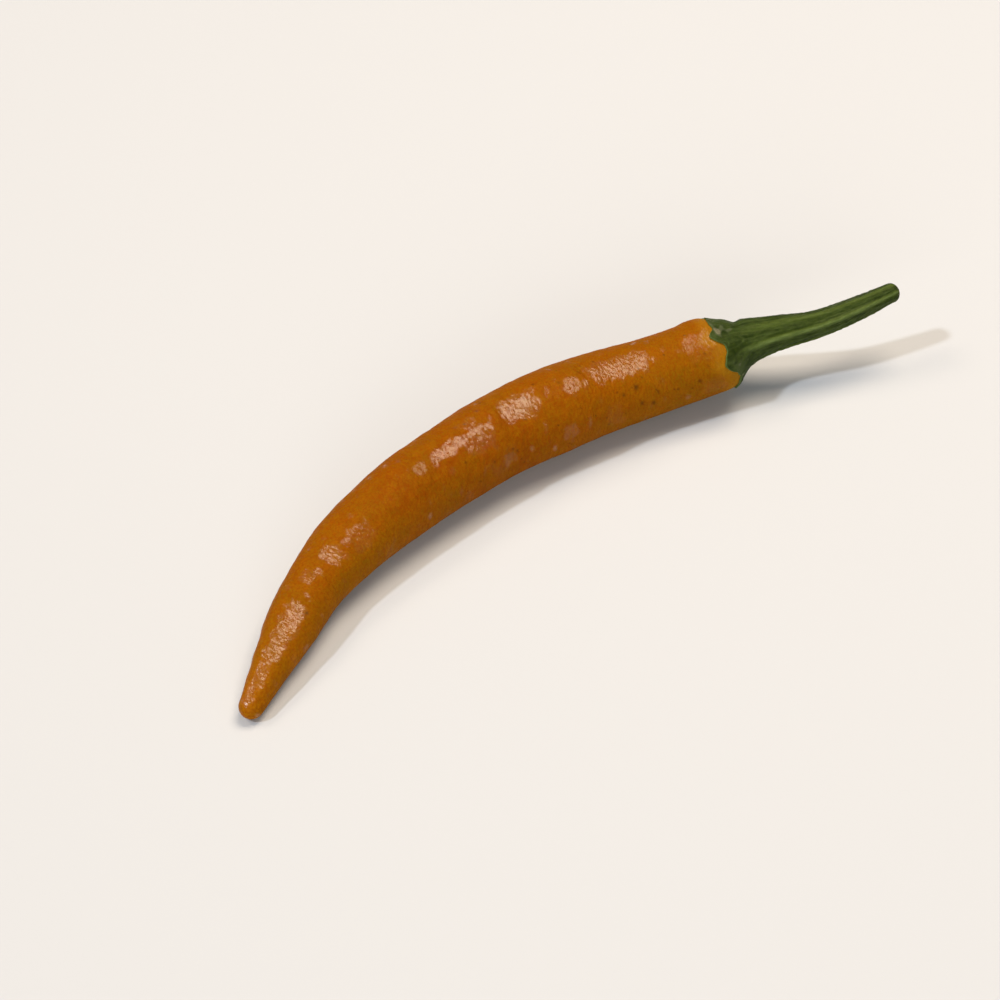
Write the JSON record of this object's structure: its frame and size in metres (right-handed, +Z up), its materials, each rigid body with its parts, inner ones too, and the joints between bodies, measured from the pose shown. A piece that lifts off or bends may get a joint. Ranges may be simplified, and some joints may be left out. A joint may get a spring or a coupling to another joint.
{
  "type": "thai chili pepper",
  "caption": "Ripe orange Thai chili pepper lying on its side: a slim, glossy, curved pod with a blunt tip, its green calyx and ribbed stem still on.",
  "frame": {"origin": "under the middle of the chili's box, on the surface that it lies on", "axes": "+X from the tip of the pod to the cut end of the stem, +Z up; the pod bows towards +Y"},
  "size_m": [0.1002, 0.0216, 0.0108],
  "materials": {
    "pod_skin": "gloss",
    "green_stem": "satin"
  },
  "bodies": {
    "root": {"pod": "pod_skin", "calyx_and_stem": "green_stem"}
  },
  "joints": []
}
